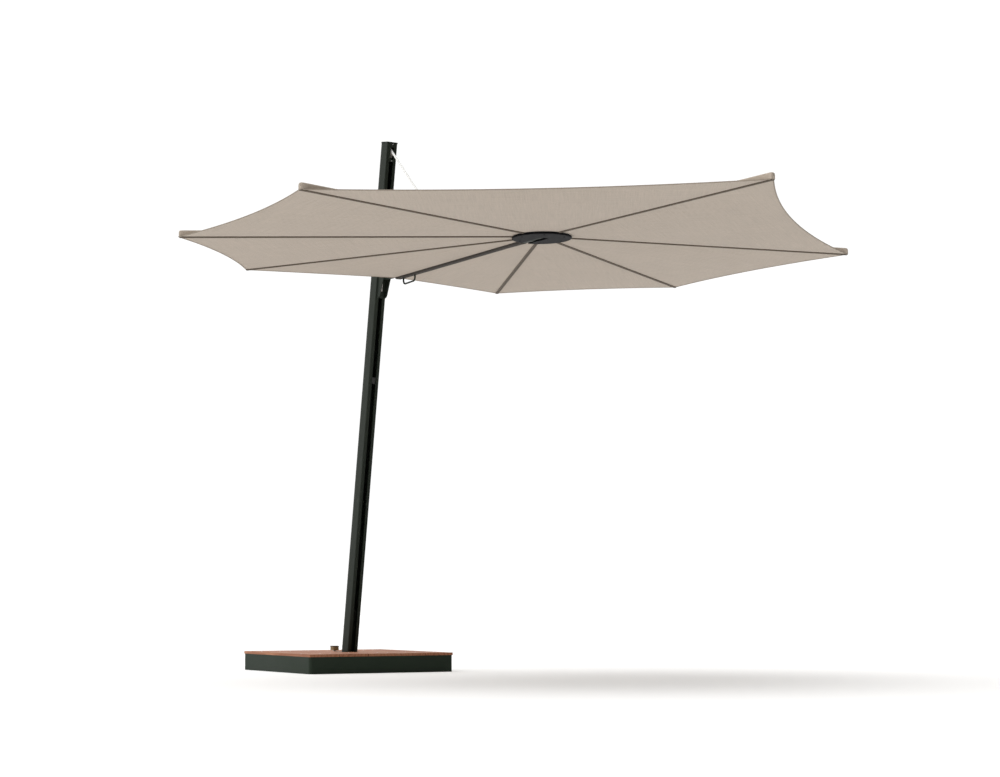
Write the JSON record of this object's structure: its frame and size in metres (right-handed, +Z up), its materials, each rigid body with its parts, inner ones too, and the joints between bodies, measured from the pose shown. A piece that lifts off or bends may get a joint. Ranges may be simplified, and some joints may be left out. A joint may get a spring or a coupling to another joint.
{
  "type": "cantilever parasol",
  "caption": "Free-standing cantilever parasol with a ballasted wood-decked base, leaning mast, rope-stayed folding arm and taut ribbed canopy.",
  "frame": {"origin": "centre of the underside of the base, on the ground, under the axis the mast turns on", "axes": "+Z up, +X the way the arm reaches from the mast to the hub of the open canopy, +Y to the left of that"},
  "size_m": [4.6726, 3.8314, 3.3884],
  "materials": {
    "base_paint": "satin",
    "ballast": "matte",
    "deck_wood": "satin",
    "tread_wood": "satin",
    "bare_steel": "satin",
    "pulley_nylon": "matte",
    "bronze": "satin",
    "shoe_rubber": "matte",
    "slider_nylon": "matte",
    "frame_paint": "satin",
    "hub_paint": "satin",
    "rib_paint": "satin",
    "canopy_fabric": "matte",
    "rope_fibre": "matte"
  },
  "bodies": {
    "base": {"base_tray": "base_paint", "ballast_slab_1": "ballast", "ballast_slab_2": "ballast", "ballast_slab_3": "ballast", "ballast_slab_4": "ballast", "deck_batten_rear": "deck_wood", "deck_batten_front": "deck_wood", "deck_board_1": "deck_wood", "deck_board_2": "deck_wood", "deck_board_3": "deck_wood", "deck_board_4": "deck_wood", "deck_board_5": "deck_wood", "bearing_housing": "base_paint", "bearing_bush": "bronze", "pedal_bracket": "bare_steel", "pedal_pin": "bare_steel"},
    "pedal": {"pedal_lever": "bare_steel", "brake_shoe": "shoe_rubber", "pedal_tread": "tread_wood", "pedal_cover": "frame_paint"},
    "mast": {"turret": "frame_paint", "mast_spigot": "frame_paint", "mast_profile": "frame_paint", "mast_cap": "frame_paint", "head_plate": "frame_paint", "sheave_axle": "frame_paint", "track_stop": "slider_nylon", "rope_lower": "rope_fibre"},
    "sheave": {"sheave": "pulley_nylon"},
    "carriage": {"carriage_slider": "frame_paint", "carriage_bracket": "frame_paint", "guide_pad_left": "slider_nylon", "guide_pad_right": "slider_nylon", "arm_pivot_pin": "frame_paint"},
    "arm": {"arm_root": "frame_paint", "arm_tube": "frame_paint", "arm_tip": "frame_paint", "arm_handle": "frame_paint", "rope_lug": "bare_steel", "canopy_rear_right": "canopy_fabric", "canopy_rear_left": "canopy_fabric"},
    "hub": {"hub_disc": "hub_paint", "hub_casting": "hub_paint", "hub_cap": "hub_paint", "hub_pin": "bare_steel"},
    "stay_rope": {"rope_upper": "rope_fibre"},
    "rib_front": {"rib_front": "rib_paint", "canopy_front": "canopy_fabric"},
    "rib_right_fore": {"rib_right_fore": "rib_paint", "canopy_right_fore": "canopy_fabric"},
    "rib_right_mid": {"rib_right_mid": "rib_paint", "canopy_right_mid": "canopy_fabric"},
    "rib_right_aft": {"rib_right_aft": "rib_paint", "canopy_right_aft": "canopy_fabric"},
    "rib_left_fore": {"rib_left_fore": "rib_paint", "canopy_left_fore": "canopy_fabric"},
    "rib_left_mid": {"rib_left_mid": "rib_paint", "canopy_left_mid": "canopy_fabric"},
    "rib_left_aft": {"rib_left_aft": "rib_paint", "canopy_left_aft": "canopy_fabric"}
  },
  "joints": [
    {"name": "mast_rotation", "type": "hinge", "parent": "base", "child": "mast", "pos_m": [0, 0, 0], "axis": [0, 0, 1], "continuous": true},
    {"name": "pedal_press", "type": "hinge", "parent": "base", "child": "pedal", "pos_m": [-0.12452, 0.01089, 0.05], "axis": [-0.0872, -0.9962, 0], "range_deg": [0, 3], "stiffness_Nm_per_rad": 6, "springref_deg": -8.59},
    {"name": "sheave_spin", "type": "hinge", "parent": "mast", "child": "sheave", "pos_m": [0.47835, 0, 3.30965], "axis": [0, -1, 0], "continuous": true},
    {"name": "carriage_slide", "type": "slide", "parent": "mast", "child": "carriage", "axis": [-0.1383, 0, -0.9904], "range_m": [0, 0.5163], "deforming": ["rope_lower"]},
    {"name": "arm_swing", "type": "hinge", "parent": "carriage", "child": "arm", "pos_m": [0.448, 0, 2.516], "axis": [0, -1, 0], "range_deg": [0, 70]},
    {"name": "hub_level", "type": "hinge", "parent": "arm", "child": "hub", "pos_m": [2.13704, 0, 2.56338], "axis": [0, 1, 0], "range_deg": [0, 70], "deforming": ["canopy_rear_right", "canopy_rear_left"]},
    {"name": "rope_swing", "type": "hinge", "parent": "mast", "child": "stay_rope", "pos_m": [0.47835, 0, 3.30965], "axis": [0, 1, 0], "range_deg": [0, 35.44], "deforming": ["rope_upper"]},
    {"name": "rib_fold_front", "type": "hinge", "parent": "hub", "child": "rib_front", "pos_m": [2.33381, 0, 2.57521], "axis": [0, 1, 0], "range_deg": [0, 80], "deforming": ["canopy_front"]},
    {"name": "rib_fold_right_fore", "type": "hinge", "parent": "hub", "child": "rib_right_fore", "pos_m": [2.18917, -0.18993, 2.57174], "axis": [0.9638, 0.2656, 0.0231], "range_deg": [0, 80], "deforming": ["canopy_right_fore"]},
    {"name": "rib_fold_right_mid", "type": "hinge", "parent": "hub", "child": "rib_right_mid", "pos_m": [2.04199, -0.17263, 2.56821], "axis": [0.8761, -0.4818, 0.021], "range_deg": [0, 80], "deforming": ["canopy_right_mid"]},
    {"name": "rib_fold_right_aft", "type": "hinge", "parent": "hub", "child": "rib_right_aft", "pos_m": [1.96249, -0.09157, 2.5663], "axis": [0.4647, -0.8854, 0.0112], "range_deg": [0, 80], "deforming": ["canopy_right_aft"]},
    {"name": "rib_fold_left_fore", "type": "hinge", "parent": "hub", "child": "rib_left_fore", "pos_m": [2.18917, 0.18993, 2.57174], "axis": [-0.9638, 0.2656, -0.0231], "range_deg": [0, 80], "deforming": ["canopy_left_fore"]},
    {"name": "rib_fold_left_mid", "type": "hinge", "parent": "hub", "child": "rib_left_mid", "pos_m": [2.04199, 0.17263, 2.56821], "axis": [-0.8761, -0.4818, -0.021], "range_deg": [0, 80], "deforming": ["canopy_left_mid"]},
    {"name": "rib_fold_left_aft", "type": "hinge", "parent": "hub", "child": "rib_left_aft", "pos_m": [1.96249, 0.09157, 2.5663], "axis": [-0.4647, -0.8854, -0.0112], "range_deg": [0, 80], "deforming": ["canopy_left_aft"]}
  ],
  "couplings": [
    {"joint": "carriage_slide", "follows": "arm_swing", "m_per_rad": 0.4226},
    {"joint": "hub_level", "follows": "arm_swing", "ratio": 1},
    {"joint": "rope_swing", "follows": "arm_swing", "ratio": 0.50631},
    {"joint": "sheave_spin", "follows": "arm_swing", "ratio": 15.093},
    {"joint": "rib_fold_front", "follows": "arm_swing", "ratio": 1.1429},
    {"joint": "rib_fold_right_fore", "follows": "arm_swing", "ratio": 1.1429},
    {"joint": "rib_fold_right_mid", "follows": "arm_swing", "ratio": 1.1429},
    {"joint": "rib_fold_right_aft", "follows": "arm_swing", "ratio": 1.1429},
    {"joint": "rib_fold_left_fore", "follows": "arm_swing", "ratio": 1.1429},
    {"joint": "rib_fold_left_mid", "follows": "arm_swing", "ratio": 1.1429},
    {"joint": "rib_fold_left_aft", "follows": "arm_swing", "ratio": 1.1429}
  ]
}
